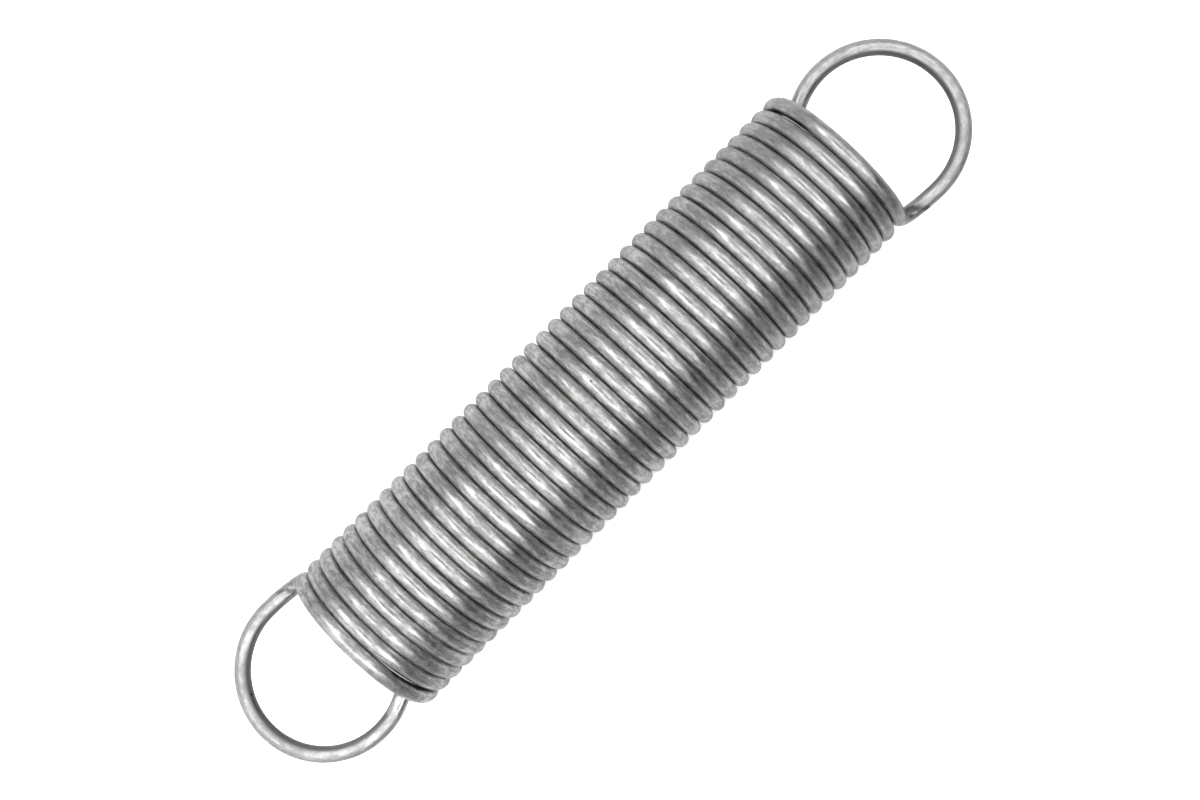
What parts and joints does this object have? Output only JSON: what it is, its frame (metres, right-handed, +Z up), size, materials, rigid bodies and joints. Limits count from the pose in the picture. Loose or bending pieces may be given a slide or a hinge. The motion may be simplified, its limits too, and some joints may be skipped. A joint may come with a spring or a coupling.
{
  "type": "extension spring",
  "caption": "Close-wound extension spring of round steel wire with a full loop at each end, for pulling two parts together.",
  "frame": {"origin": "on the surface that the spring lies on, under the middle of the coil's axis", "axes": "+X along the coil's axis, +Y across it in the plane of both loops, +Z up"},
  "size_m": [0.1434, 0.0296, 0.0275],
  "materials": {
    "wire": "satin drawn wire, lightly marked"
  },
  "bodies": {
    "root": {"spring": "wire"}
  },
  "joints": []
}
